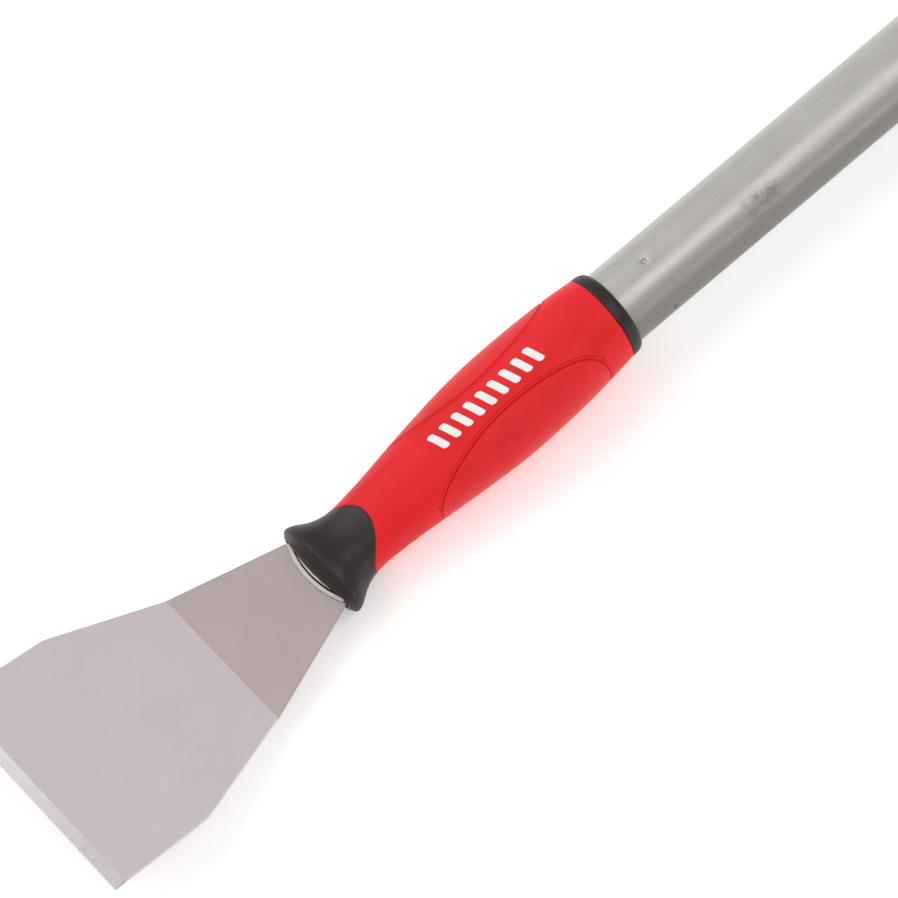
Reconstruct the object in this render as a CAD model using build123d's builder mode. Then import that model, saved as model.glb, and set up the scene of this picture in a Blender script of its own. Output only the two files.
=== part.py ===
from build123d import *
import os
from math import sin, cos, tan, radians

# Floor scraper: a bent steel blade on a steel tube with two moulded grips.
# Millimetres. +X runs from the cutting edge to the hanging end, +Z is the side the
# bevel and the printed band face, and the origin is at the middle of the bottom of
# the bounding box.

os.makedirs("parts", exist_ok=True)

# ---------------------------------------------------------------- driving sizes
TOTAL_LEN = 610.0          # cutting edge to the end of the cap
AXIS_Z = 25.6              # height of the tube's axis
CAP_FLAT_Z = 9.7           # height of the flat under the end cap, which stops the handle rolling
COLLAR_X = -15.6           # face of the front collar ring that the tube leaves

TUBE_OD = 31.75            # 1 1/4 in tube
TUBE_WALL = 1.25
TUBE_START = COLLAR_X - 22.0
REAR_X = 164.4             # face of the rear collar ring that the tube enters
TUBE_END = REAR_X + 22.0
SPIGOT_R = 14.6            # core spigot inside the tube
SPIGOT_OUT = 35.0          # spigot length beyond each collar ring
STAKE_OFF = 18.0           # stake dimples, distance from each collar ring
RING_LEN = 5.9
RING_R = 18.6

BLADE_W = 101.6            # 4 in cutting edge
BLADE_T = 2.0
BEND_X = COLLAR_X - 199.16 # bend line of the blade, top face
BEND_Z = AXIS_Z - 13.95
SHANK_TILT = 4.9           # the shank drops towards the bend
FRONT_TILT = 11.37         # the front plate rises towards the edge
SHOULDER_L = 46.4          # from the bend line, along the front plate
BEVEL_L = 87.18
EDGE_L = 91.65
EDGE_LAND = 0.15
W_BEND = 33.0              # half widths
W_SHOULDER = 49.1
W_MOUTH = 17.9

PLATE_T = 1.2              # stiffening plates on the tang
SEAM = 0.3                 # gap along the moulded seams
HANG_R = 4.5
HANG_X = 294.5
HANG_HALF = 13.0           # half the hanging hole's wall length

# outer section of the front handle: distance from the collar face, drop of the
# centre, half width, half height
HANDLE = [
    (-5.9, 0.0, 18.6, 18.6),
    (-15.0, -0.3, 19.75, 18.5),
    (-30.0, -1.3, 21.1, 18.1),
    (-45.0, -2.2, 21.75, 17.4),
    (-60.0, -3.15, 21.8, 16.6),
    (-75.0, -4.05, 20.7, 16.2),
    (-90.0, -5.2, 19.0, 15.5),
    (-105.0, -6.5, 17.05, 14.5),
    (-118.0, -7.9, 15.5, 13.6),
    (-124.0, -8.6, 15.0, 13.1),
    (-130.0, -9.35, 14.75, 12.8),
    (-135.0, -10.1, 15.3, 12.8),
    (-138.5, -10.5, 16.4, 13.1),
]
BELL = [
    (-118.0, -7.9, 15.5, 13.6),
    (-124.0, -8.6, 15.0, 13.1),
    (-130.0, -9.35, 14.75, 12.8),
    (-135.0, -10.1, 15.3, 12.8),
    (-138.5, -10.5, 16.4, 13.1),
    (-141.5, -10.75, 18.0, 13.6),
    (-144.0, -10.95, 19.7, 14.2),
    (-146.5, -11.05, 21.2, 14.7),
    (-148.6, -11.1, 21.7, 14.9),
]
# domed front of the guard, from its rim to the middle of its mouth
DOME = [
    (-148.6, -11.1, 21.7, 14.9),
    (-150.2, -11.1, 20.9, 14.1),
    (-151.1, -11.1, 18.9, 12.3),
    (-152.2, -11.1, 13.2, 8.2),
    (-152.9, -11.1, 7.0, 4.4),
]
# outer section of the rear handle: distance past the rear collar face, half width,
# half height, centred on the tube
REAR = [
    (5.9, 18.6, 18.6),
    (15.0, 19.75, 18.3),
    (30.0, 21.1, 17.8),
    (45.0, 21.75, 17.2),
    (60.0, 21.8, 16.6),
    (75.0, 21.0, 16.3),
    (90.0, 20.0, 15.9),
    (105.0, 19.1, 15.6),
    (120.0, 18.7, 15.5),
]
CAP = [
    (120.0, 18.7, 15.5),
    (126.0, 19.0, 15.7),
    (132.0, 19.9, 16.1),
    (136.5, 20.3, 16.3),
    (140.6, 19.6, 15.7),
]
WALL = 3.0                 # thickness of the grip over the core
# side panel outline seen from above: distance from the collar face, half width
PANEL = [
    (-106.0, 20.5), (-102.0, 17.4), (-92.0, 13.4), (-82.0, 11.0), (-70.0, 9.0),
    (-58.0, 8.4), (-45.0, 9.4), (-35.0, 11.0), (-27.6, 13.0), (-22.8, 15.2),
    (-19.8, 17.8), (-18.4, 20.2), (-18.0, 23.0),
]
# rear edge of the black guard seen from above: distance, half width
GUARD = [
    (-136.5, 17.0), (-134.0, 15.0), (-130.8, 12.4), (-128.0, 9.8), (-125.7, 6.6), (-124.0, 0.0),
]


def across(x, dz=0.0):
    """Plane square to the tube at x, local X along -Z and local Y along +Y."""
    return Plane(origin=(x, 0, AXIS_Z + dz), x_dir=(0, 0, -1), z_dir=(1, 0, 0))


def inset(points, gap):
    """The panel outline moved sideways into the panel by gap."""
    moved = []
    for i, (x, y) in enumerate(points):
        x0, y0 = points[max(i - 1, 0)]
        x1, y1 = points[min(i + 1, len(points) - 1)]
        run = ((x1 - x0) ** 2 + (y1 - y0) ** 2) ** 0.5
        moved.append((x - (y1 - y0) / run * gap, y + (x1 - x0) / run * gap))
    return moved


def shank_plane(rise):
    """Plane parallel to the blade's shank, rise above its top face; local X runs
    from the bend line towards the handle."""
    s, c = sin(radians(SHANK_TILT)), cos(radians(SHANK_TILT))
    return Plane(origin=(BEND_X - s * rise, 0, BEND_Z + c * rise), x_dir=(c, 0, s), z_dir=(-s, 0, c))


# ---------------------------------------------------------------- blade
SH = (-sin(radians(SHANK_TILT)), cos(radians(SHANK_TILT)))     # shank normal (x, z)
FR = (sin(radians(FRONT_TILT)), cos(radians(FRONT_TILT)))      # front plate normal
MITRE = 1.0 + SH[0] * FR[0] + SH[1] * FR[1]
TANG_END_X = COLLAR_X - 72.0
TANG_END_Z = BEND_Z + (TANG_END_X - BEND_X) * tan(radians(SHANK_TILT))


def front_point(dist, drop):
    """A point (x, z) dist along the front plate and drop below its top face."""
    return (
        BEND_X - dist * cos(radians(FRONT_TILT)) - FR[0] * drop,
        BEND_Z + dist * sin(radians(FRONT_TILT)) - FR[1] * drop,
    )


with BuildPart() as scraper_blade:
    # side view: tang, shank, bend, front plate and single bevel
    with BuildSketch(Plane.XZ) as blade_side:
        with BuildLine():
            Polyline(
                (TANG_END_X, TANG_END_Z),
                (BEND_X, BEND_Z),
                front_point(BEVEL_L, 0),
                front_point(EDGE_L, BLADE_T - EDGE_LAND),
                front_point(EDGE_L, BLADE_T),
                (BEND_X - BLADE_T * (SH[0] + FR[0]) / MITRE, BEND_Z - BLADE_T * (SH[1] + FR[1]) / MITRE),
                (TANG_END_X - SH[0] * BLADE_T, TANG_END_Z - SH[1] * BLADE_T),
                close=True,
            )
        make_face()
        bend_top = blade_side.vertices().filter_by(lambda v: abs(v.X - BEND_X) < 0.5 and abs(v.Y - BEND_Z) < 0.5)
        fillet(bend_top, radius=3.0)
        bend_low = blade_side.vertices().filter_by(lambda v: abs(v.X - BEND_X) < 0.5 and v.Y < BEND_Z - 1.5)
        fillet(bend_low, radius=5.0)
    extrude(amount=60.0, both=True)
    # planform
    with BuildSketch(Plane.XY) as blade_plan:
        with BuildLine():
            Polyline(
                (TANG_END_X, 8.0),
                (COLLAR_X - 129.0, 9.2),
                (COLLAR_X - 139.0, 11.2),
                (COLLAR_X - 147.5, 16.0),
                (COLLAR_X - 153.0, W_MOUTH),
                (BEND_X, W_BEND),
                (BEND_X - SHOULDER_L * cos(radians(FRONT_TILT)), W_SHOULDER),
                (-TOTAL_LEN / 2, BLADE_W / 2),
                (-TOTAL_LEN / 2 - 2.0, BLADE_W / 2),
                (-TOTAL_LEN / 2 - 2.0, -BLADE_W / 2),
                (-TOTAL_LEN / 2, -BLADE_W / 2),
                (BEND_X - SHOULDER_L * cos(radians(FRONT_TILT)), -W_SHOULDER),
                (BEND_X, -W_BEND),
                (COLLAR_X - 153.0, -W_MOUTH),
                (COLLAR_X - 147.5, -16.0),
                (COLLAR_X - 139.0, -11.2),
                (COLLAR_X - 129.0, -9.2),
                (TANG_END_X, -8.0),
                close=True,
            )
        make_face()
        fillet(blade_plan.vertices().sort_by(Axis.X)[-2:], radius=6.0)
        fillet(blade_plan.vertices().filter_by(lambda v: abs(abs(v.Y) - W_SHOULDER) < 0.01), radius=2.0)
        fillet(blade_plan.vertices().filter_by(lambda v: abs(abs(v.Y) - W_BEND) < 0.01), radius=12.0)
    extrude(amount=120.0, mode=Mode.INTERSECT)

# ---------------------------------------------------------------- stiffening plates
U_MOUTH = (BEND_X - (COLLAR_X - 153.0)) / -cos(radians(SHANK_TILT))


def plate_outline(front, side):
    """Front arc, tapering flanks and a round tail, in shank coordinates."""
    with BuildLine() as outline:
        arc = ThreePointArc((front + side, 16.6), (front, 0.0), (front + side, -16.6))
        a = Polyline(arc @ 1, (U_MOUTH + 5.5, -14.4), (U_MOUTH + 14.2, -10.2), (U_MOUTH + 24.0, -8.6), (94.0, -8.6))
        b = ThreePointArc(a @ 1, (102.6, 0.0), (94.0, 8.6))
        Polyline(b @ 1, (U_MOUTH + 24.0, 8.6), (U_MOUTH + 14.2, 10.2), (U_MOUTH + 5.5, 14.4), arc @ 0)
    return outline.line


with BuildPart() as upper_inner_plate:
    with BuildSketch(shank_plane(0.0)):
        with BuildLine():
            add(plate_outline(44.1, 3.6))
        make_face()
    extrude(amount=PLATE_T)

with BuildPart() as upper_outer_plate:
    with BuildSketch(shank_plane(PLATE_T)):
        with BuildLine():
            add(plate_outline(45.4, 3.6))
        make_face()
    extrude(amount=PLATE_T)

with BuildPart() as lower_inner_plate:
    with BuildSketch(shank_plane(-BLADE_T - PLATE_T)):
        with BuildLine():
            add(plate_outline(44.1, 3.6))
        make_face()
    extrude(amount=PLATE_T)

with BuildPart() as lower_outer_plate:
    with BuildSketch(shank_plane(-BLADE_T - 2 * PLATE_T)):
        with BuildLine():
            add(plate_outline(45.4, 3.6))
        make_face()
    extrude(amount=PLATE_T)

# ---------------------------------------------------------------- tang rivets
RIVET_U = (76.0, 91.0)
RIVET_R = 2.5
HEAD_R = 4.2
HEAD_H = 1.3
with BuildPart() as tang_rivets:
    with BuildSketch(shank_plane(-BLADE_T - 2 * PLATE_T)):
        with Locations(*[(u, 0) for u in RIVET_U]):
            Circle(RIVET_R)
    extrude(amount=BLADE_T + 4 * PLATE_T)
    with BuildSketch(shank_plane(2 * PLATE_T)):
        with Locations(*[(u, 0) for u in RIVET_U]):
            Circle(HEAD_R)
    extrude(amount=HEAD_H, taper=25)
    with BuildSketch(shank_plane(-BLADE_T - 2 * PLATE_T)):
        with Locations(*[(u, 0) for u in RIVET_U]):
            Circle(HEAD_R)
    extrude(amount=-HEAD_H, taper=25)

# each riveted layer has two round holes for the rivets
for layer in (scraper_blade, upper_inner_plate, upper_outer_plate, lower_inner_plate, lower_outer_plate):
    with layer:
        add(tang_rivets.part, mode=Mode.SUBTRACT)

# ---------------------------------------------------------------- steel tube
with BuildPart() as handle_tube:
    with BuildSketch(across(TUBE_START)):
        Circle(TUBE_OD / 2)
        Circle(TUBE_OD / 2 - TUBE_WALL, mode=Mode.SUBTRACT)
    extrude(amount=TUBE_END - TUBE_START)
    # stake dimples: pressed in from outside, proud inside
    for x in (COLLAR_X + STAKE_OFF, REAR_X - STAKE_OFF):
        with BuildPart(across(x), mode=Mode.PRIVATE) as bumps:
            with PolarLocations(16.9, 4):
                Sphere(3.2)
        with BuildPart(across(x), mode=Mode.PRIVATE) as dents:
            with PolarLocations(17.2, 4):
                Sphere(2.4)
        with BuildPart(mode=Mode.PRIVATE) as bumps_kept:
            add(bumps.part)
            with BuildSketch(across(x - 6.0)):
                Circle(TUBE_OD / 2 - 0.4)
            extrude(amount=12.0, mode=Mode.INTERSECT)
        add(bumps_kept.part)
        add(dents.part, mode=Mode.SUBTRACT)

# ---------------------------------------------------------------- envelopes
with BuildPart() as handle_envelope:
    for dx, dz, a, h in HANDLE:
        with BuildSketch(across(COLLAR_X + dx, dz)):
            Ellipse(h, a)
    loft()

with BuildPart() as bell_envelope:
    for dx, dz, a, h in BELL:
        with BuildSketch(across(COLLAR_X + dx, dz)):
            Ellipse(h, a)
    loft()
    for dx, dz, a, h in DOME:
        with BuildSketch(across(COLLAR_X + dx, dz)):
            Ellipse(h, a)
    loft()

with BuildPart() as core_envelope:
    for dx, dz, a, h in [(-146.0, -11.0, 12.0, 9.8), (-138.0, -10.4, 11.9, 9.8)] + [
        (p[0], p[1], p[2] - WALL, p[3] - WALL) for p in reversed(HANDLE) if -131.0 < p[0] < -20.0
    ]:
        with BuildSketch(across(COLLAR_X + dx, dz)):
            Ellipse(h, a)
    with BuildSketch(across(TUBE_START)):
        Ellipse(15.4, 17.2)
    loft()

with BuildPart() as rear_envelope:
    for dx, a, h in REAR:
        with BuildSketch(across(REAR_X + dx)):
            Ellipse(h, a)
    loft()

with BuildPart() as rear_core_envelope:
    with BuildSketch(across(TUBE_END)):
        Ellipse(15.0, 17.2)
    for dx, a, h in [p for p in REAR if p[0] > 25.0]:
        with BuildSketch(across(REAR_X + dx)):
            Ellipse(h - WALL, a - WALL)
    loft()

with BuildPart() as tube_envelope:
    with BuildSketch(across(TUBE_START)):
        Circle(TUBE_OD / 2)
    extrude(amount=TUBE_END - TUBE_START)

# region of the side panels seen from above: openings on both sides, and the body
# of the left panel, one seam gap smaller all round
with BuildPart() as panel_region:
    with BuildSketch(Plane.XY):
        with BuildLine():
            edge = Spline(*[(COLLAR_X + dx, y) for dx, y in PANEL])
            Polyline(edge @ 1, (COLLAR_X - 18.0, 32.0), (COLLAR_X - 106.0, 32.0), edge @ 0)
        make_face()
    extrude(amount=70.0)
    mirror(about=Plane.XZ)

with BuildPart() as panel_body_region:
    with BuildSketch(Plane.XY):
        with BuildLine():
            edge = Spline(*[(COLLAR_X + dx, y) for dx, y in inset(PANEL, SEAM)])
            Polyline(edge @ 1, (COLLAR_X - 18.0 - SEAM, 32.0), (COLLAR_X - 106.0, 32.0), edge @ 0)
        make_face()
    extrude(amount=70.0)

with BuildPart() as rear_panel_region:
    with BuildSketch(Plane.XY):
        with BuildLine():
            edge = Spline(*[(REAR_X - dx, y) for dx, y in PANEL])
            Polyline(edge @ 1, (REAR_X + 18.0, 32.0), (REAR_X + 106.0, 32.0), edge @ 0)
        make_face()
    extrude(amount=70.0)
    mirror(about=Plane.XZ)

with BuildPart() as rear_panel_body_region:
    with BuildSketch(Plane.XY):
        with BuildLine():
            edge = Spline(*[(REAR_X - dx, y) for dx, y in inset(PANEL, SEAM)])
            Polyline(edge @ 1, (REAR_X + 18.0 + SEAM, 32.0), (REAR_X + 106.0, 32.0), edge @ 0)
        make_face()
    extrude(amount=70.0)

# region in front of the guard's rear edge, seen from above
with BuildPart() as guard_region:
    with BuildSketch(Plane.XY):
        with BuildLine():
            half = [(COLLAR_X + dx, y) for dx, y in GUARD]
            full = half + [(x, -y) for x, y in reversed(half[:-1])]
            edge = Spline(*full)
            Polyline(edge @ 1, (COLLAR_X - 136.5, -40.0), (COLLAR_X - 170.0, -40.0),
                     (COLLAR_X - 170.0, 40.0), (COLLAR_X - 136.5, 40.0), edge @ 0)
        make_face()
    extrude(amount=70.0)

# ---------------------------------------------------------------- front core
with BuildPart() as front_core:
    add(core_envelope.part)
    with BuildSketch(across(TUBE_START)):
        Circle(SPIGOT_R)
    extrude(amount=22.0 + SPIGOT_OUT)
    with BuildPart(across(COLLAR_X + STAKE_OFF), mode=Mode.PRIVATE) as pockets:
        with PolarLocations(16.9, 4):
            Sphere(3.25)
    add(pockets.part, mode=Mode.SUBTRACT)
    # seat of the riveted tang
    for piece in (scraper_blade, upper_inner_plate, upper_outer_plate, lower_inner_plate, lower_outer_plate, tang_rivets):
        add(piece.part, mode=Mode.SUBTRACT)

# ---------------------------------------------------------------- black guard
with BuildPart() as blade_guard:
    add(bell_envelope.part)
    add(guard_region.part, mode=Mode.INTERSECT)
    add(core_envelope.part, mode=Mode.SUBTRACT)
    for piece in (scraper_blade, upper_inner_plate, upper_outer_plate, lower_inner_plate, lower_outer_plate):
        add(piece.part, mode=Mode.SUBTRACT)
    # narrow flat under the rim, where the guard lies on the ground
    with BuildSketch(Plane.XY):
        with Locations((COLLAR_X - 146.0, 0)):
            Rectangle(40.0, 60.0)
    extrude(amount=-8.0, mode=Mode.SUBTRACT)

# ---------------------------------------------------------------- front grip
with BuildPart() as front_grip_shell:
    add(handle_envelope.part)
    add(guard_region.part, mode=Mode.SUBTRACT)
    add(core_envelope.part, mode=Mode.SUBTRACT)
    add(tube_envelope.part, mode=Mode.SUBTRACT)
    add(panel_region.part, mode=Mode.SUBTRACT)

with BuildPart() as front_left_panel:
    add(handle_envelope.part)
    add(core_envelope.part, mode=Mode.SUBTRACT)
    add(tube_envelope.part, mode=Mode.SUBTRACT)
    add(panel_body_region.part, mode=Mode.INTERSECT)

with BuildPart() as front_right_panel:
    mirror(front_left_panel.part, about=Plane.XZ)

with BuildPart() as front_collar_ring:
    with BuildSketch(across(COLLAR_X - RING_LEN)):
        Circle(RING_R)
        Circle(TUBE_OD / 2, mode=Mode.SUBTRACT)
    extrude(amount=RING_LEN)
    fillet(front_collar_ring.faces().sort_by(Axis.X)[-1].edges().sort_by(SortBy.LENGTH)[-1], radius=2.2)

# ---------------------------------------------------------------- rear grip
with BuildPart() as rear_collar_ring:
    with BuildSketch(across(REAR_X)):
        Circle(RING_R)
        Circle(TUBE_OD / 2, mode=Mode.SUBTRACT)
    extrude(amount=RING_LEN)
    fillet(rear_collar_ring.faces().sort_by(Axis.X)[0].edges().sort_by(SortBy.LENGTH)[-1], radius=2.2)

with BuildPart() as rear_core:
    add(rear_core_envelope.part)
    with BuildSketch(across(REAR_X - SPIGOT_OUT)):
        Circle(SPIGOT_R)
    extrude(amount=22.0 + SPIGOT_OUT)
    with BuildPart(across(REAR_X - STAKE_OFF), mode=Mode.PRIVATE) as pockets:
        with PolarLocations(16.9, 4):
            Sphere(3.25)
    add(pockets.part, mode=Mode.SUBTRACT)
    # socket for the cap's plug
    with BuildSketch(across(REAR_X + 120.0)):
        Circle(8.0)
    extrude(amount=-16.0, mode=Mode.SUBTRACT)

with BuildPart() as rear_grip_shell:
    add(rear_envelope.part)
    add(rear_core_envelope.part, mode=Mode.SUBTRACT)
    add(tube_envelope.part, mode=Mode.SUBTRACT)
    add(rear_panel_region.part, mode=Mode.SUBTRACT)

with BuildPart() as rear_left_panel:
    add(rear_envelope.part)
    add(rear_core_envelope.part, mode=Mode.SUBTRACT)
    add(tube_envelope.part, mode=Mode.SUBTRACT)
    add(rear_panel_body_region.part, mode=Mode.INTERSECT)

with BuildPart() as rear_right_panel:
    mirror(rear_left_panel.part, about=Plane.XZ)

with BuildPart() as end_cap:
    for dx, a, h in CAP:
        with BuildSketch(across(REAR_X + dx)):
            Ellipse(h, a)
    loft()
    fillet(end_cap.faces().sort_by(Axis.X)[-1].edges(), radius=5.0)
    # plug that presses into the core
    with BuildSketch(across(REAR_X + 120.0)):
        Circle(8.0)
    extrude(amount=-16.0)
    # flat seats around the hanging hole, then the hole
    with BuildSketch(Plane.XY.offset(AXIS_Z + HANG_HALF)):
        with Locations((HANG_X, 0)):
            Circle(7.0)
    extrude(amount=8.0, mode=Mode.SUBTRACT)
    with BuildSketch(Plane.XY.offset(AXIS_Z - HANG_HALF)):
        with Locations((HANG_X, 0)):
            Circle(7.0)
    extrude(amount=-8.0, mode=Mode.SUBTRACT)
    with BuildSketch(Plane.XY.offset(AXIS_Z - HANG_HALF)):
        with Locations((HANG_X, 0)):
            Circle(HANG_R)
    extrude(amount=2 * HANG_HALF, mode=Mode.SUBTRACT)
    # flat on the underside
    with BuildSketch(Plane.XY.offset(CAP_FLAT_Z)):
        with Locations((REAR_X + 134.0, 0)):
            Rectangle(40.0, 60.0)
    extrude(amount=-8.0, mode=Mode.SUBTRACT)

# ---------------------------------------------------------------- export
PIECES = {
    "scraper_blade": scraper_blade,
    "upper_inner_plate": upper_inner_plate,
    "upper_outer_plate": upper_outer_plate,
    "lower_inner_plate": lower_inner_plate,
    "lower_outer_plate": lower_outer_plate,
    "tang_rivets": tang_rivets,
    "front_core": front_core,
    "blade_guard": blade_guard,
    "front_grip_shell": front_grip_shell,
    "front_left_panel": front_left_panel,
    "front_right_panel": front_right_panel,
    "front_collar_ring": front_collar_ring,
    "handle_tube": handle_tube,
    "rear_collar_ring": rear_collar_ring,
    "rear_core": rear_core,
    "rear_grip_shell": rear_grip_shell,
    "rear_left_panel": rear_left_panel,
    "rear_right_panel": rear_right_panel,
    "end_cap": end_cap,
}
for label, piece in PIECES.items():
    piece.part.label = label
    export_step(piece.part, "parts/" + label + ".step")
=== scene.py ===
import bpy
import math
import numpy as np
from mathutils import Matrix, Vector


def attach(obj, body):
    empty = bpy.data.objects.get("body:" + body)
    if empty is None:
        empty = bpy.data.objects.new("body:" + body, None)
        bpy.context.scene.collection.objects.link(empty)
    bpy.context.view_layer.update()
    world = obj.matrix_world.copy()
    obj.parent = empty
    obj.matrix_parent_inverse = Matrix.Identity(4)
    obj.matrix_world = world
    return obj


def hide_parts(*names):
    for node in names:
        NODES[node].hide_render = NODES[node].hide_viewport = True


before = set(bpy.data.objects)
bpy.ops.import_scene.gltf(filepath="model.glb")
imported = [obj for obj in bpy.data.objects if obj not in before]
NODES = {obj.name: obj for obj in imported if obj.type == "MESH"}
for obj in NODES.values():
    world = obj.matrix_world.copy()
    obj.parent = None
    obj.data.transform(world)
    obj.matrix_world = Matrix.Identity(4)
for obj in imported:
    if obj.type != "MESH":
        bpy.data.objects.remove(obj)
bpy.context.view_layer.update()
SCENE = bpy.context.scene

# ------------------------------------------------------------------ sizes, mm
AXIS_Z = 25.6
CX = -15.6            # front collar face
RX = 164.4            # rear collar face
TUBE_R = 31.75 / 2
RING_R = 18.6
STAKE = 18.0
BEND_X = CX - 199.16
BEND_Z = AXIS_Z - 13.95
ST = math.radians(4.9)
FT = math.radians(11.37)
T_BLADE = 2.0

# sections: distance from the collar face, rise of the centre, half width, half height
FRONT_SEC = [
    (5.9, 0.0, 18.6, 18.6), (15.0, -0.3, 19.75, 18.5), (30.0, -1.3, 21.1, 18.1), (45.0, -2.2, 21.75, 17.4),
    (60.0, -3.15, 21.8, 16.6), (75.0, -4.05, 20.7, 16.2), (90.0, -5.2, 19.0, 15.5), (105.0, -6.5, 17.05, 14.5),
    (118.0, -7.9, 15.5, 13.6), (124.0, -8.6, 15.0, 13.1), (130.0, -9.35, 14.75, 12.8), (135.0, -10.1, 15.3, 12.8),
    (138.5, -10.5, 16.4, 13.1), (141.5, -10.75, 18.0, 13.6), (144.0, -10.95, 19.7, 14.2), (146.5, -11.05, 21.15, 14.7),
    (148.2, -11.1, 21.65, 14.88),
]
REAR_SEC = [
    (5.9, 0.0, 18.6, 18.6), (15.0, 0.0, 19.75, 18.3), (30.0, 0.0, 21.1, 17.8), (45.0, 0.0, 21.75, 17.2),
    (60.0, 0.0, 21.8, 16.6), (75.0, 0.0, 21.0, 16.3), (90.0, 0.0, 20.0, 15.9), (105.0, 0.0, 19.1, 15.6),
    (120.0, 0.0, 18.7, 15.5),
]
# side panel outline from above: distance, half width
SEAM_PTS = [
    (106.0, 20.5), (102.0, 17.4), (92.0, 13.4), (82.0, 11.0), (70.0, 9.0), (58.0, 8.4), (45.0, 9.4),
    (35.0, 11.0), (27.6, 13.0), (22.8, 15.2), (19.8, 17.8), (18.4, 20.2), (18.0, 23.0),
]
# rear edge of the guard from above: half width, distance
GUARD_PTS = [(0.0, 124.0), (6.6, 125.7), (9.8, 128.0), (12.4, 130.8), (15.0, 134.0), (17.0, 136.5)]


def cubic(xk, yk):
    """Natural cubic spline through the points, as a function of an array."""
    xk, yk = np.asarray(xk, float), np.asarray(yk, float)
    n = len(xk)
    h = np.diff(xk)
    A = np.zeros((n, n))
    r = np.zeros(n)
    A[0, 0] = A[-1, -1] = 1.0
    for i in range(1, n - 1):
        A[i, i - 1], A[i, i], A[i, i + 1] = h[i - 1], 2 * (h[i - 1] + h[i]), h[i]
        r[i] = 6 * ((yk[i + 1] - yk[i]) / h[i] - (yk[i] - yk[i - 1]) / h[i - 1])
    m = np.linalg.solve(A, r)

    def f(x):
        x = np.asarray(x, float)
        i = np.clip(np.searchsorted(xk, x) - 1, 0, n - 2)
        t0, t1 = x - xk[i], xk[i + 1] - x
        return (m[i] * t1**3 + m[i + 1] * t0**3) / (6 * h[i]) + (yk[i] / h[i] - m[i] * h[i] / 6) * t1 + (
            yk[i + 1] / h[i] - m[i + 1] * h[i] / 6) * t0

    return f


class Handle:
    """A grip's outer surface: (distance d, angle p from the top) to a point in mm."""

    def __init__(self, sections, origin, sign):
        d = [s[0] for s in sections]
        self.z = cubic(d, [s[1] for s in sections])
        self.a = cubic(d, [s[2] for s in sections])
        self.h = cubic(d, [s[3] for s in sections])
        self.origin, self.sign = origin, sign

    def point(self, d, p):
        return np.stack([self.origin + self.sign * d + 0 * p, self.a(d) * np.sin(p), AXIS_Z + self.z(d) + self.h(d) * np.cos(p)], -1)

    def normal(self, d, p):
        e = 1e-3
        u = self.point(d + e, p) - self.point(d - e, p)
        v = self.point(d, p + e) - self.point(d, p - e)
        n = np.cross(u, v)
        n /= np.linalg.norm(n, axis=-1, keepdims=True)
        c = self.point(d, p) - np.stack([self.origin + self.sign * d + 0 * p, 0 * (d + p), AXIS_Z + self.z(d) + 0 * p], -1)
        s = np.sign((n * c).sum(-1, keepdims=True))
        return n * s


FRONT = Handle(FRONT_SEC, CX, -1.0)
REAR = Handle(REAR_SEC, RX, 1.0)


# ------------------------------------------------------------------ mesh helpers
def grid_faces(r, c, wrap=False, start=0):
    i = np.arange(r - 1)[:, None]
    j = np.arange(c if wrap else c - 1)[None, :]
    k = (j + 1) % c
    f = np.stack([i * c + j, i * c + k, (i + 1) * c + k, (i + 1) * c + j], -1).reshape(-1, 4)
    return f + start


def make(name, parts, mat, angle=35.0, smooth=True):
    """One mesh object from (vertices in mm, faces) pieces, welded, normals out."""
    vs, fs, at = [], [], 0
    for v, f in parts:
        v = np.asarray(v, float).reshape(-1, 3)
        vs.append(v)
        fs += [tuple(int(x) + at for x in q) for q in f]
        at += len(v)
    me = bpy.data.meshes.new(name)
    me.from_pydata((np.concatenate(vs) * 0.001).tolist(), [], fs)
    import bmesh
    bm = bmesh.new()
    bm.from_mesh(me)
    bmesh.ops.remove_doubles(bm, verts=bm.verts, dist=2e-6)
    bmesh.ops.dissolve_degenerate(bm, edges=bm.edges, dist=1e-7)
    bmesh.ops.recalc_face_normals(bm, faces=bm.faces)
    bm.to_mesh(me)
    bm.free()
    me.polygons.foreach_set("use_smooth", [smooth] * len(me.polygons))
    if smooth and angle:
        me.set_sharp_from_angle(angle=math.radians(angle))
    o = bpy.data.objects.new(name, me)
    SCENE.collection.objects.link(o)
    if mat:
        me.materials.append(mat)
    return o


def outward(o, centre_fn):
    """Flips the mesh if most faces look inwards."""
    me = o.data
    s = 0.0
    for p in me.polygons:
        c = p.center
        s += p.area * (c - centre_fn(c)).normalized().dot(p.normal)
    if s < 0:
        me.flip_normals()
    return o


def axis_point(c):
    return Vector((c.x, 0, AXIS_Z * 0.001))


def revolve(profile, origin, sign, n=192, z0=0.0):
    """(distance, radius) pairs turned about the tube axis."""
    p = np.linspace(0, 2 * np.pi, n, endpoint=False)
    d = np.array([q[0] for q in profile])[:, None]
    r = np.array([q[1] for q in profile])[:, None]
    v = np.stack([origin + sign * d + 0 * p, r * np.sin(p), AXIS_Z + z0 + r * np.cos(p)], -1)
    return v.reshape(-1, 3), grid_faces(len(profile), n, wrap=True)


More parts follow.
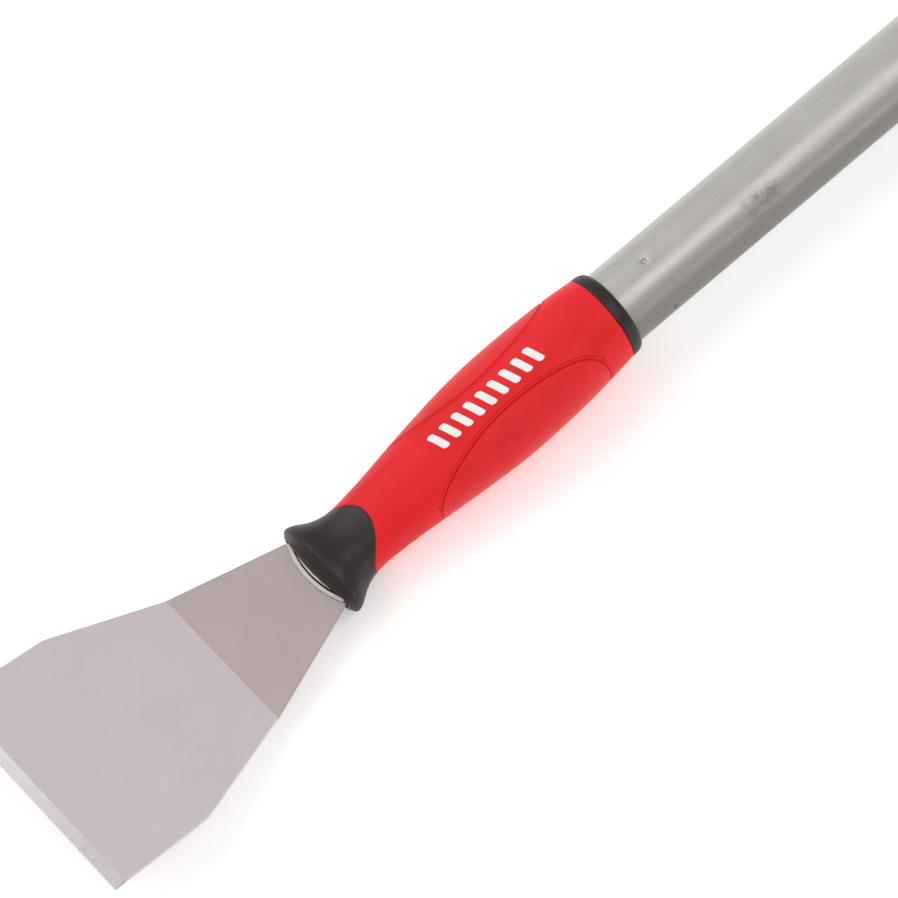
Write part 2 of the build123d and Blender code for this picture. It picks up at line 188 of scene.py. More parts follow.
# ------------------------------------------------------------------ seam of the side panels
def seam_curve(handle, n=370):
    pts = np.array(SEAM_PTS[::-1], float)
    t = np.r_[0, np.cumsum(np.linalg.norm(np.diff(pts, axis=0), axis=1))]
    fd, fy = cubic(t, pts[:, 0]), cubic(t, pts[:, 1])
    tt = np.linspace(0, t[-1], 6000)
    d, y = fd(tt), fy(tt)
    inside = y < handle.a(d) * 0.99999
    i0, i1 = np.argmax(inside), len(inside) - 1 - np.argmax(inside[::-1])
    tt = np.linspace(tt[i0], tt[i1], 6000)
    d, y = fd(tt), fy(tt)
    p = np.arcsin(np.clip(y / handle.a(d), 0, 1))
    p[0] = p[-1] = np.pi / 2
    P = handle.point(d, p)
    s = np.r_[0, np.cumsum(np.linalg.norm(np.diff(P, axis=0), axis=1))]
    ss = np.linspace(0, s[-1], n)
    return np.interp(ss, s, d), np.interp(ss, s, p)


EDGE = np.array([0, .05, .1, .16, .23, .32, .43, .55, .7, .85, 1.0, 1.12, 1.24, 1.36, 1.48, 1.6, 1.72, 1.9, 2.2, 2.6])


def groove(dist, width, depth):
    g = 0.5 + 0.5 * np.cos(np.pi * np.clip(dist / width, 0, 1))
    return depth * g**1.3


def near(P, curve, reach):
    """Distance from each point to the curve, capped at reach."""
    flat = P.reshape(-1, 3)
    out = np.full(len(flat), reach)
    for i in range(0, len(flat), 4000):
        q = flat[i:i + 4000]
        lo, hi = q[:, 0].min() - reach, q[:, 0].max() + reach
        c = curve[(curve[:, 0] > lo) & (curve[:, 0] < hi)]
        if len(c) < 2:
            continue
        a, b = c[:-1], c[1:]
        ab = b - a
        L = (ab**2).sum(1) + 1e-12
        ok = L < 4.0
        a, ab, L = a[ok], ab[ok], L[ok]
        t = np.clip(((q[:, None] - a) * ab).sum(-1) / L, 0, 1)
        dd = np.linalg.norm(q[:, None] - (a + t[..., None] * ab), axis=-1).min(1)
        out[i:i + 4000] = np.minimum(dd, reach)
    return out.reshape(P.shape[:-1])


def build_grip(prefix, handle, end_fn, red, soft, seam_w=0.68, seam_d=0.75):
    """The grip shell and its two side panels, with a groove along every seam."""
    sd, sp = seam_curve(handle)
    folded = handle.point(sd, sp)
    folded = np.stack([folded[:, 0], folded[:, 1], np.abs(folded[:, 2] - AXIS_Z - handle.z(sd))], -1)

    def displaced(d, p, extra=0.0, line=0.0):
        P = handle.point(d, p)
        N = handle.normal(d, p)
        F = np.stack([P[..., 0], np.abs(P[..., 1]), np.abs(P[..., 2] - AXIS_Z - handle.z(d))], -1)
        dist = near(F, folded, 2.0)
        g = groove(dist, seam_w, seam_d) + line * groove(np.abs(dist - 1.35), 0.34, 0.3)
        return P - N * (g + extra)[..., None]

    dr, df = sd[0], sd[-1]
    # shell: two half skins, each from -phi to phi about its middle
    ring_d = np.r_[5.9 + np.array([0, .06, .14, .25, .4, .7]), np.linspace(7.2, dr - 0.25, 22), dr - 0.1]
    band_rows = np.r_[ring_d, sd]
    band_phi = np.r_[np.full(len(ring_d), np.pi / 2), sp]
    n_mid = 40
    parts = []
    for half in (0.0, np.pi):
        d = np.repeat(band_rows[:, None], 2 * len(EDGE) + n_mid, 1)
        R = np.sqrt((handle.a(band_rows) * np.cos(band_phi))**2 + (handle.h(band_rows) * np.sin(band_phi))**2)
        dp = EDGE[None, :] / R[:, None]
        dp = dp * np.minimum(1.0, 0.4 * band_phi / dp[:, -1])[:, None]
        left = -band_phi[:, None] + dp
        right = (band_phi[:, None] - dp)[:, ::-1]
        t = np.linspace(0, 1, n_mid + 2)[1:-1]
        mid = left[:, -1:] * (1 - t) + right[:, :1] * t
        p = np.concatenate([left, mid, right], 1) + half
        # round the rim at the collar ring
        rim = np.clip(1 - (d - 5.9) / 0.4, 0, 1)**2 * 0.3
        P = displaced(d, p, rim, 1.0)
        parts.append((P, grid_faces(*P.shape[:2])))
        # lip that closes the rim at the ring
        lip = np.stack([P[0], displaced(d[:1], p[:1], rim[:1] + 1.0)[0]])
        parts.append((lip, grid_faces(2, lip.shape[1])))
        # neck from the seam tip to the end of the shell
        pe = p[-1]
        de = end_fn(pe)
        s = np.r_[np.linspace(0, 0.9, 60), 1 - np.array([.07, .045, .028, .017, .009, .004, 0])]
        dn = df + (de[None, :] - df) * s[:, None]
        gap = (de[None, :] - dn)
        rim2 = np.clip(1 - gap / 0.45, 0, 1)**2 * 0.28
        pn = np.repeat(pe[None, :], len(s), 0)
        Pn = displaced(dn, pn, rim2, 1.0)
        parts.append((Pn, grid_faces(*Pn.shape[:2])))
        lip = np.stack([Pn[-1], displaced(dn[-1:], pn[-1:], rim2[-1:] + 1.0)[0]])
        parts.append((lip, grid_faces(2, lip.shape[1])))
    shell = make(prefix + "_grip_shell_skin", parts, red, angle=50)
    outward(shell, axis_point)
    panels = []
    for side, nm in ((1.0, "left"), (-1.0, "right")):
        w = np.pi / 2 - sp
        R = np.sqrt((handle.a(sd) * np.cos(sp))**2 + (handle.h(sd) * np.sin(sp))**2)
        dp = EDGE[None, :] / R[:, None]
        dp = dp * np.minimum(1.0, 0.45 * np.maximum(w, 1e-4) / dp[:, -1])[:, None]
        top = sp[:, None] + dp
        bot = (np.pi - sp[:, None] - dp)[:, ::-1]
        t = np.linspace(0, 1, 58)[1:-1]
        mid = top[:, -1:] * (1 - t) + bot[:, :1] * t
        p = side * np.concatenate([top, mid, bot], 1)
        d = np.repeat(sd[:, None], p.shape[1], 1)
        P = displaced(d, p)
        o = make(f"{prefix}_{nm}_panel_skin", [(P, grid_faces(*P.shape[:2]))], soft, angle=50)
        outward(o, axis_point)
        panels.append(o)
    return shell, panels


# ------------------------------------------------------------------ materials
def srgb(r, g, b):
    return tuple(((c / 255) / 12.92 if c / 255 <= 0.04045 else ((c / 255 + 0.055) / 1.055)**2.4) for c in (r, g, b)) + (1.0,)


class Mat:
    """A small builder for node materials in object coordinates (metres)."""

    def __init__(self, name):
        self.m = bpy.data.materials.new(name)
        self.m.use_nodes = True
        self.t = self.m.node_tree
        self.t.nodes.clear()
        self.out = self.t.nodes.new("ShaderNodeOutputMaterial")
        self.b = self.t.nodes.new("ShaderNodeBsdfPrincipled")
        self.t.links.new(self.b.outputs[0], self.out.inputs[0])
        self.co = self.t.nodes.new("ShaderNodeTexCoord").outputs["Object"]

    def node(self, kind, **sets):
        n = self.t.nodes.new(kind)
        for k, v in sets.items():
            setattr(n, k, v)
        return n

    def link(self, a, b):
        self.t.links.new(a, b)

    def put(self, socket, v):
        if hasattr(v, "node"):
            self.link(v, socket)
        else:
            socket.default_value = v

    def mapped(self, scale=(1, 1, 1), loc=(0, 0, 0), rot=(0, 0, 0), co=None):
        n = self.node("ShaderNodeMapping")
        n.inputs["Scale"].default_value = scale
        n.inputs["Location"].default_value = loc
        n.inputs["Rotation"].default_value = rot
        self.link(co or self.co, n.inputs[0])
        return n.outputs[0]

    def noise(self, scale, detail=3.0, rough=0.5, co=None, dist=0.0):
        n = self.node("ShaderNodeTexNoise")
        n.inputs["Scale"].default_value = scale
        n.inputs["Detail"].default_value = detail
        n.inputs["Roughness"].default_value = rough
        n.inputs["Distortion"].default_value = dist
        self.link(co or self.co, n.inputs["Vector"])
        return n.outputs["Fac"]

    def voronoi(self, scale, co=None, feature="F1", rnd=1.0):
        n = self.node("ShaderNodeTexVoronoi", feature=feature)
        n.inputs["Scale"].default_value = scale
        n.inputs["Randomness"].default_value = rnd
        self.link(co or self.co, n.inputs["Vector"])
        return n.outputs["Distance"]

    def ramp(self, v, lo, hi, a=0.0, b=1.0, smooth=True):
        n = self.node("ShaderNodeMapRange", interpolation_type="SMOOTHSTEP" if smooth else "LINEAR")
        n.inputs["From Min"].default_value = lo
        n.inputs["From Max"].default_value = hi
        n.inputs["To Min"].default_value = a
        n.inputs["To Max"].default_value = b
        self.put(n.inputs["Value"], v)
        return n.outputs[0]

    def math(self, op, a, b=0.0):
        n = self.node("ShaderNodeMath", operation=op)
        self.put(n.inputs[0], a)
        self.put(n.inputs[1], b)
        return n.outputs[0]

    def mix(self, fac, a, b, mode="MIX"):
        n = self.node("ShaderNodeMix", data_type="RGBA", blend_type=mode)
        self.put(n.inputs[0], fac)
        self.put(n.inputs[6], a)
        self.put(n.inputs[7], b)
        return n.outputs[2]

    def xyz(self):
        n = self.node("ShaderNodeSeparateXYZ")
        self.link(self.co, n.inputs[0])
        return n.outputs

    def bump(self, height, strength, distance, normal=None):
        n = self.node("ShaderNodeBump")
        n.inputs["Strength"].default_value = strength
        n.inputs["Distance"].default_value = distance
        self.put(n.inputs["Height"], height)
        if normal is not None:
            self.link(normal, n.inputs["Normal"])
        return n.outputs[0]

    def set(self, **kw):
        for k, v in kw.items():
            self.put(self.b.inputs[k.replace("_", " ")], v)
        return self

    def done(self):
        return self.m


def red_material(name, base, rough=0.42, soft=False):
    m = Mat(name)
    big = m.noise(28.0, 3.0)
    fine = m.noise(2600.0, 2.0)
    vor = m.voronoi(2300.0)
    col = m.mix(m.ramp(big, 0.3, 0.7), base, tuple(c * 0.9 for c in base[:3]) + (1,))
    specks = m.ramp(m.noise(900.0, 4.0, 0.7), 0.66, 0.74)
    col = m.mix(m.math("MULTIPLY", specks, 0.18), col, tuple(min(1, c * 1.35 + 0.03) for c in base[:3]) + (1,))
    m.set(Base_Color=col)
    m.set(Roughness=m.ramp(m.noise(160.0, 3.0), 0.3, 0.7, rough - 0.04, rough + 0.06))
    m.b.inputs["Specular IOR Level"].default_value = 0.21
    if soft:
        m.b.inputs["Sheen Weight"].default_value = 0.12
        m.b.inputs["Sheen Roughness"].default_value = 0.5
    n1 = m.bump(vor, 0.22, 0.00010)
    n2 = m.bump(fine, 0.2, 0.00006, n1)
    m.set(Normal=n2)
    return m.done()


def black_material(name, base, rough=0.48):
    m = Mat(name)
    big = m.noise(60.0, 4.0)
    col = m.mix(m.ramp(big, 0.35, 0.7), base, tuple(c * 1.45 + 0.004 for c in base[:3]) + (1,))
    scuff = m.ramp(m.noise(420.0, 5.0, 0.75), 0.68, 0.78)
    col = m.mix(m.math("MULTIPLY", scuff, 0.25), col, (0.12, 0.11, 0.105, 1))
    m.set(Base_Color=col)
    m.set(Roughness=m.ramp(m.noise(240.0, 4.0), 0.3, 0.7, rough - 0.05, rough + 0.09))
    m.b.inputs["Specular IOR Level"].default_value = 0.31
    n1 = m.bump(m.voronoi(1700.0), 0.16, 0.00012)
    n2 = m.bump(m.noise(3000.0, 2.0), 0.1, 0.00005, n1)
    m.set(Normal=n2)
    return m.done()


def tube_material():
    m = Mat("galvanised_tube")
    along = m.mapped(scale=(6.0, 260.0, 260.0))
    streak = m.noise(1.0, 4.0, 0.6, co=along)
    along2 = m.mapped(scale=(25.0, 1500.0, 1500.0))
    hair = m.noise(1.0, 3.0, 0.6, co=along2)
    cloud = m.noise(38.0, 5.0, 0.6)
    base = m.mix(m.ramp(cloud, 0.3, 0.72), (0.475, 0.463, 0.442, 1), (0.525, 0.513, 0.490, 1))
    base = m.mix(m.ramp(streak, 0.35, 0.7, 0, 0.3), base, (0.335, 0.328, 0.318, 1))
    mott = m.ramp(m.noise(750.0, 5.0, 0.75), 0.32, 0.68)
    base = m.mix(m.math("MULTIPLY", mott, 0.30), base, (0.40, 0.382, 0.355, 1))
    warm = m.ramp(m.noise(120.0, 4.0, 0.7), 0.45, 0.75)
    base = m.mix(m.math("MULTIPLY", warm, 0.28), base, (0.45, 0.415, 0.36, 1))
    # a faint brown handling smudge and short dark scuffs
    x, y, z = m.xyz()
    blot = m.ramp(m.noise(260.0, 5.0, 0.72), 0.36, 0.60)
    win = m.math("MULTIPLY", m.ramp(m.math("ABSOLUTE", m.math("SUBTRACT", x, 0.0535)), 0.0055, 0.0105, 1, 0),
                 m.ramp(m.math("ABSOLUTE", m.math("ADD", y, 0.0103)), 0.0022, 0.0046, 1, 0))
    win = m.math("MULTIPLY", win, m.ramp(z, 0.026, 0.03))
    base = m.mix(m.math("MULTIPLY", m.math("MULTIPLY", blot, win), 0.6), base, (0.235, 0.195, 0.15, 1))
    # painted shade: the base darkens toward the -y flank, standing in for the shaded lower side of the tube
    painted_flank_shade = m.ramp(m.math("ADD", m.math("MULTIPLY", y, -1.0), m.math("MULTIPLY", cloud, 0.0008)), 0.0078, 0.0155)
    base = m.mix(m.math("MULTIPLY", painted_flank_shade, 0.92), base, (0.17, 0.162, 0.154, 1))
    scr = m.ramp(m.noise(1.0, 2.0, 0.5, co=m.mapped(scale=(18.0, 700.0, 700.0), loc=(3, 1, 2))), 0.72, 0.76)
    base = m.mix(m.math("MULTIPLY", scr, 0.35), base, (0.66, 0.65, 0.63, 1))
    m.set(Base_Color=base)
    m.b.inputs["Metallic"].default_value = 0.4
    m.set(Roughness=m.ramp(m.math("ADD", m.math("MULTIPLY", cloud, 0.6), m.math("MULTIPLY", hair, 0.4)), 0.35, 0.68, 0.35, 0.47))
    n1 = m.bump(hair, 0.10, 0.00006)
    n2 = m.bump(m.noise(520.0, 4.0, 0.6), 0.10, 0.00008, n1)
    m.set(Normal=n2)
    return m.done()


def blade_material():
    m = Mat("ground_blade")
    x, y, z = m.xyz()
    # distance ahead of the bend line, to tell the shank from the front plate
    ahead = m.math("SUBTRACT", BEND_X * 0.001, x)
    front = m.ramp(ahead, -0.00012, 0.00012)
    bevel_at = 87.18 * math.cos(FT) * 0.001
    bevel = m.ramp(ahead, bevel_at - 0.00002, bevel_at + 0.00006)
    grain = m.noise(1.0, 4.0, 0.6, co=m.mapped(scale=(2600.0, 2600.0, 2600.0)))
    cross = m.noise(1.0, 3.0, 0.6, co=m.mapped(scale=(70.0, 1300.0, 400.0)))
    cloud = m.noise(22.0, 4.0, 0.6)
    # painted light: the front plate's base is much lighter than the shank's, standing in for the bent front face
    # catching more light; the grain and pits are the steel's own
    shank = m.mix(m.ramp(cloud, 0.3, 0.7), (0.375, 0.318, 0.315, 1), (0.40, 0.340, 0.338, 1))
    shank = m.mix(m.ramp(grain, 0.4, 0.75, 0, 0.22), shank, (0.33, 0.285, 0.275, 1))
    plate = m.mix(m.ramp(cloud, 0.3, 0.7), (0.555, 0.497, 0.530, 1), (0.585, 0.527, 0.560, 1))
    plate = m.mix(m.ramp(m.noise(600.0, 3.0), 0.5, 0.75, 0, 0.2), plate, (0.51, 0.455, 0.485, 1))
    pits = m.ramp(m.voronoi(95.0), 0.035, 0.075, 1, 0)
    sparse = m.ramp(m.noise(60.0, 2.0), 0.5, 0.62)
    pits = m.math("MULTIPLY", pits, sparse)
    plate = m.mix(m.math("MULTIPLY", pits, 0.5), plate, (0.33, 0.29, 0.31, 1))
    col = m.mix(front, shank, plate)
    lines = m.noise(1.0, 5.0, 0.75, co=m.mapped(scale=(220.0, 6500.0, 220.0), rot=(0, 0, 0.06)))
    # painted light: the bevel colour grows lighter toward +y, standing in for the light falling across the edge from
    # that side; the grind lines are the steel's own
    along = m.ramp(y, -0.05, 0.05)
    bcol = m.mix(m.ramp(lines, 0.38, 0.62), m.mix(along, (0.47, 0.435, 0.44, 1), (0.60, 0.58, 0.575, 1)), m.mix(along, (0.33, 0.30, 0.305, 1), (0.44, 0.42, 0.42, 1)))
    col = m.mix(bevel, col, bcol)
    m.set(Base_Color=col)
    m.b.inputs["Metallic"].default_value = 0.4
    r0 = m.ramp(grain, 0.3, 0.7, 0.46, 0.58)
    r1 = m.ramp(m.noise(300.0, 3.0), 0.3, 0.7, 0.42, 0.52)
    rr = m.mix(front, r0, r1)
    rr = m.mix(bevel, rr, (0.3, 0.3, 0.3, 1))
    m.set(Roughness=rr)
    h = m.math("ADD", m.math("MULTIPLY", grain, 0.5), m.math("MULTIPLY", cross, 0.5))
    n1 = m.bump(h, 0.10, 0.00005)
    n2 = m.bump(m.math("MULTIPLY", pits, -1.0), 0.25, 0.00008, n1)
    n3 = m.bump(m.math("MULTIPLY", lines, bevel), 0.2, 0.00004, n2)
    m.set(Normal=n3)
    return m.done()


def plate_material(name, top_a, top_b, side):
    m = Mat(name)
    g = m.noise(1.0, 4.0, 0.6, co=m.mapped(scale=(1500.0, 260.0, 1500.0)))
    sep = m.node("ShaderNodeSeparateXYZ")
    m.link(m.node("ShaderNodeTexCoord").outputs["Normal"], sep.inputs[0])
    face = m.ramp(m.math("ABSOLUTE", sep.outputs[2]), 0.55, 0.95)
    wall = m.ramp(m.math("ABSOLUTE", sep.outputs[2]), 0.12, 0.4)
    rim = m.mix(m.ramp(g, 0.3, 0.7), (0.82, 0.78, 0.72, 1), (0.70, 0.66, 0.60, 1))
    # walls take the side colour, which on the outer plates is painted shade
    edge = m.mix(wall, side, rim)
    flat = m.mix(m.ramp(g, 0.3, 0.7), top_a, top_b)
    col = m.mix(face, edge, flat)
    m.set(Base_Color=col)
    m.b.inputs["Metallic"].default_value = 0.4
    m.set(Roughness=m.ramp(g, 0.3, 0.7, 0.38, 0.5))
    m.set(Normal=m.bump(g, 0.2, 0.00006))
    return m.done()


def rivet_material():
    m = Mat("plain_rivet")
    g = m.noise(800.0, 3.0)
    m.set(Base_Color=m.mix(g, (0.5, 0.5, 0.5, 1), (0.62, 0.61, 0.6, 1)), Roughness=m.ramp(g, 0.3, 0.7, 0.35, 0.5))
    m.b.inputs["Metallic"].default_value = 0.9
    return m.done()


def core_material():
    m = Mat("core_moulding")
    g = m.noise(500.0, 3.0)
    m.set(Base_Color=m.mix(g, (0.045, 0.045, 0.045, 1), (0.06, 0.06, 0.06, 1)), Roughness=m.ramp(g, 0.3, 0.7, 0.5, 0.65))
    m.set(Normal=m.bump(m.noise(1500.0, 2.0), 0.15, 0.00008))
    return m.done()


def paint_material():
    m = Mat("white_print")
    g = m.noise(1200.0, 4.0, 0.6)
    m.set(Base_Color=m.mix(m.ramp(g, 0.35, 0.7), (0.88, 0.86, 0.86, 1), (0.80, 0.76, 0.76, 1)))
    m.set(Roughness=m.ramp(g, 0.3, 0.7, 0.45, 0.6))
    m.set(Normal=m.bump(g, 0.2, 0.00004))
    return m.done()


RED = red_material("red_moulding", srgb(228, 30, 36), rough=0.46)
SOFT = red_material("red_soft_panel", srgb(226, 31, 38), rough=0.52, soft=True)
BLACK = black_material("black_guard_rubber", (0.0185, 0.0122, 0.0128, 1), 0.40)
BLACK2 = black_material("black_ring_plastic", (0.0175, 0.0125, 0.013, 1), 0.40)
TUBE = tube_material()
BLADE = blade_material()
PLATE = plate_material("sheared_plate", (0.52, 0.475, 0.43, 1), (0.46, 0.415, 0.375, 1), (0.40, 0.36, 0.33, 1))
# painted shade: the outer plates' walls are near-black, standing in for the shadow in the gap under their overhang
PLATE2 = plate_material("sheared_plate_painted_shade_walls", (0.56, 0.52, 0.475, 1), (0.46, 0.42, 0.38, 1), (0.05, 0.045, 0.04, 1))
RIVET = rivet_material()
CORE = core_material()
PAINT = paint_material()

# ------------------------------------------------------------------ front and rear grips
gy = np.array([g[0] for g in GUARD_PTS])
gd = np.array([g[1] for g in GUARD_PTS])
gfun = cubic(np.r_[-gy[:0:-1], gy], np.r_[gd[:0:-1], gd])
_tab_p = np.linspace(0, np.pi / 2, 400)
_tab_d = np.zeros(400)
for _k, _p in enumerate(_tab_p):
    _d = 124.0
    for _ in range(60):
        _d = 0.5 * _d + 0.5 * float(gfun(np.clip(float(FRONT.a(_d)) * math.sin(_p), 0, 16.9)))
    _tab_d[_k] = _d


def guard_edge(p):
    q = np.abs((np.asarray(p) + np.pi) % (2 * np.pi) - np.pi)
    q = np.where(q > np.pi / 2, np.pi - q, q)
    return np.interp(q, _tab_p, _tab_d)


front_shell, front_panels = build_grip("front", FRONT, guard_edge, RED, SOFT)
rear_shell, rear_panels = build_grip("rear", REAR, lambda p: 120.0 + 0 * p, RED, SOFT)


# ------------------------------------------------------------------ guard
def guard_mesh():
    p = np.linspace(0, 2 * np.pi, 320, endpoint=False)
    e = guard_edge(p)
    parts = []
    s = np.r_[0, .003, .007, .013, .022, .035, .05, np.linspace(0.075, 1, 70)]
    d = e[None, :] + (148.2 - e[None, :]) * s[:, None]
    pp = np.repeat(p[None, :], len(s), 0)
    gap = d - e[None, :]
    rim = np.clip(1 - gap / 0.45, 0, 1)**2 * 0.28
    body = FRONT.point(d, pp) - FRONT.normal(d, pp) * rim[..., None]
    lip = (FRONT.point(d[:1], pp[:1]) - FRONT.normal(d[:1], pp[:1]) * 1.3)
    rows = [lip[0]] + [b for b in body]
    zc = AXIS_Z - 11.1
    a0, h0 = 21.65, 14.88
    # rounded rim
    for t in np.linspace(0.1, 1, 14):
        th = t * np.pi * 0.46
        r = 2.1
        a, h, dd = a0 + 0.03 - r * (1 - math.cos(th)), h0 - r * (1 - math.cos(th)), 148.2 + 1.9 * math.sin(th)
        rows.append(np.stack([CX - dd + 0 * p, a * np.sin(p), zc + h * np.cos(p)], -1))
    a1, h1, d1 = a, h, dd
    # domed face down to the mouth
    sy, sz, ex = 17.75, 3.75, 7.0
    slot = np.stack([sy * np.sign(np.sin(p)) * np.abs(np.sin(p))**(2 / ex), sz * np.sign(np.cos(p)) * np.abs(np.cos(p))**(2 / ex)], -1)
    ring = np.stack([a1 * np.sin(p), h1 * np.cos(p)], -1)

    def dome(y, z):
        rho2 = (y / a1)**2 * 0.92 + (z / h1)**2
        return d1 + 3.0 * np.clip(1 - rho2, 0, 1)**0.85

    for t in np.r_[np.linspace(0.05, 0.93, 22), 0.965, 0.985, 1.0]:
        yz = ring * (1 - t) + slot * t
        dd = dome(yz[:, 0], yz[:, 1])
        # the lip rolls in
        dd = dd - 0.35 * np.clip((t - 0.93) / 0.07, 0, 1)**2
        rows.append(np.stack([CX - dd, yz[:, 0], zc + yz[:, 1]], -1))
    last = rows[-1]
    for k, (off, sh) in enumerate(((0.3, 0.05), (1.0, 0.08), (6.0, 0.08))):
        q = last.copy()
        q[:, 0] += off
        q[:, 1] *= 1 - sh / sy
        q[:, 2] = zc + (q[:, 2] - zc) * (1 - sh / sz)
        if k == 2:
            q[:, 1] *= 0.82
        rows.append(q)
    V = np.stack(rows)
    V[..., 2] = np.maximum(V[..., 2], 0.02)
    o = make("blade_guard_skin", [(V, grid_faces(V.shape[0], V.shape[1], wrap=True))], BLACK, angle=60)
    return outward(o, lambda c: Vector((c.x + 0.004, 0, (AXIS_Z - 10) * 0.001)))


guard = guard_mesh()


# ------------------------------------------------------------------ collar rings
def ring_mesh(name, origin, sign):
    prof = [(5.9, 16.5), (5.9, 18.15), (5.84, 18.35), (5.7, 18.5), (5.45, 18.58), (5.0, 18.6), (4.3, 18.58)]
    for t in np.linspace(0, 1, 14):
        th = t * np.pi / 2
        prof.append((0.05 + 3.9 * (1 - math.sin(th)) ** 1.0, 16.2 + 2.34 * math.cos(th)))
    prof += [(0.02, 16.05), (0.1, 15.93), (1.0, 15.9)]
    v, f = revolve(prof, origin, sign)
    o = make(name, [(v, f)], BLACK2, angle=40)
    return outward(o, axis_point)


front_ring = ring_mesh("front_collar_ring_skin", CX, -1.0)
rear_ring = ring_mesh("rear_collar_ring_skin", RX, 1.0)


# ------------------------------------------------------------------ tube with stake dimples
def tube_mesh():
    base = np.linspace(0, 2 * np.pi, 145)[:-1]
    fine = np.concatenate([c + np.linspace(-0.26, 0.26, 45) for c in (0, np.pi / 2, np.pi, 3 * np.pi / 2)])
    p = np.unique(np.round(np.r_[base, fine % (2 * np.pi)], 5))
    keep = [p[0]]
    for q in p[1:]:
        if q - keep[-1] > 0.008:
            keep.append(q)
    p = np.array(keep)
    x0, x1 = CX - 1.2, RX + 1.2
    xs = [np.linspace(x0, x1, 100)]
    for c in (CX + STAKE, RX - STAKE):
        xs.append(c + np.linspace(-4, 4, 54))
    x = np.unique(np.round(np.concatenate(xs), 4))
    X, Pp = np.meshgrid(x, p, indexing="ij")
    r = np.full(X.shape, TUBE_R)
    for c in (CX + STAKE, RX - STAKE):
        for a in (0, np.pi / 2, np.pi, 3 * np.pi / 2):
            da = (Pp - a + np.pi) % (2 * np.pi) - np.pi
            rr = np.sqrt((X - c)**2 + (da * TUBE_R)**2)
            r -= 0.85 * np.exp(-(rr / 1.15)**4) + 0.20 * np.exp(-(rr / 2.2)**2)
    V = np.stack([X, r * np.sin(Pp), AXIS_Z + r * np.cos(Pp)], -1)
    o = make("handle_tube_skin", [(V, grid_faces(*V.shape[:2], wrap=True))], TUBE, angle=0)
    return outward(o, axis_point)


tube = tube_mesh()


# ------------------------------------------------------------------ blade
def blade_mesh():
    sh_n = np.array([-math.sin(ST), math.cos(ST)])
    fr_n = np.array([math.sin(FT), math.cos(FT)])
    sh_d = np.array([math.cos(ST), math.sin(ST)])      # from the bend towards the handle
    fr_d = np.array([-math.cos(FT), math.sin(FT)])     # from the bend towards the edge
    bend = np.array([BEND_X, BEND_Z])
    rt = 1.0
    half = (ST + FT) / 2
    tl = rt * math.tan(half)
    stations = []                                      # (bottom point, normal, distance tag)
    for u in np.r_[np.linspace(61.5, 3.0, 30), np.linspace(2.6, tl, 6)]:
        stations.append((bend + sh_d * u - sh_n * T_BLADE, sh_n, -u))
    centre = bend + sh_d * tl + sh_n * rt
    for t in np.linspace(0, 1, 7)[1:-1]:
        ang = -ST + (ST + FT) * t
        n = np.array([math.sin(ang), math.cos(ang)])
        stations.append((centre - n * (rt + T_BLADE), n, -tl + 2 * tl * t))
    us = np.r_[np.linspace(tl, 2.6, 6), np.linspace(4.0, 44.0, 22), np.linspace(44.6, 48.2, 13), np.linspace(49.5, 86.6, 22), 86.95, 87.18]
    for u in us:
        stations.append((bend + fr_d * u - fr_n * T_BLADE, fr_n, u))
    for u in np.r_[87.2, 87.5, 88.2, 89, 89.8, 90.6, 91.2, 91.55, 91.63]:
        stations.append((bend + fr_d * u - fr_n * T_BLADE, fr_n, u))

    pts = [(-199, 8.0), (-62.0, 13.5), (-60.5, 11.2), (-51.7, 16.0), (-46.3, 17.9), (0, 33.0), (46.4, 49.1), (91.65, 50.8)]
    px = np.array([-62.0, -60.5, -51.7, -46.3, 0.0, 46.4, 91.65, 92.0])
    pw = np.array([11.2, 11.2, 16.0, 17.9, 33.0, 49.1, 50.78, 50.79])

    def width(u):
        # the outline with its shoulder corners eased over a couple of mm
        k = np.linspace(-1.3, 1.3, 27)
        return float(np.mean(np.interp(u + k, px, pw))) if u < 90.3 else float(np.interp(u, px, pw))

    r = 0.16
    rows = []
    for (bp, n, u) in stations:
        W = width(u)
        if u <= 87.19:
            T = T_BLADE
        else:
            T = T_BLADE - (T_BLADE - 0.15) * (u - 87.18) / (91.65 - 87.18)
        rr = min(r, T * 0.45)
        yt = np.linspace(-(W - rr), W - rr, 41)
        loop = []
        for y in yt:
            loop.append((y, T))
        for a in (0.35, 0.7, 1.0):
            th = a * np.pi / 2
            loop.append((W - rr + rr * math.sin(th), T - rr + rr * math.cos(th)))
        for a in (0.0, 0.35, 0.7):
            th = a * np.pi / 2
            loop.append((W - rr + rr * math.cos(th), rr - rr * math.sin(th)))
        for y in yt[::-1]:
            loop.append((y, 0.0))
        for a in (0.35, 0.7, 1.0):
            th = a * np.pi / 2
            loop.append((-(W - rr) - rr * math.sin(th), rr - rr * math.cos(th)))
        for a in (0.0, 0.35, 0.7):
            th = a * np.pi / 2
            loop.append((-(W - rr) - rr * math.cos(th), T - rr + rr * math.sin(th)))
        loop = np.array(loop)
        rows.append(np.stack([bp[0] + n[0] * loop[:, 1], loop[:, 0], bp[1] + n[1] * loop[:, 1]], -1))
    V = np.stack(rows)
    R, C = V.shape[:2]
    faces = [tuple(q) for q in grid_faces(R, C, wrap=True)]
    o = make("scraper_blade_skin", [(V, faces + [tuple(range(C)), tuple(range((R - 1) * C, R * C))[::-1]])], BLADE, angle=9)
    return o


blade = blade_mesh()


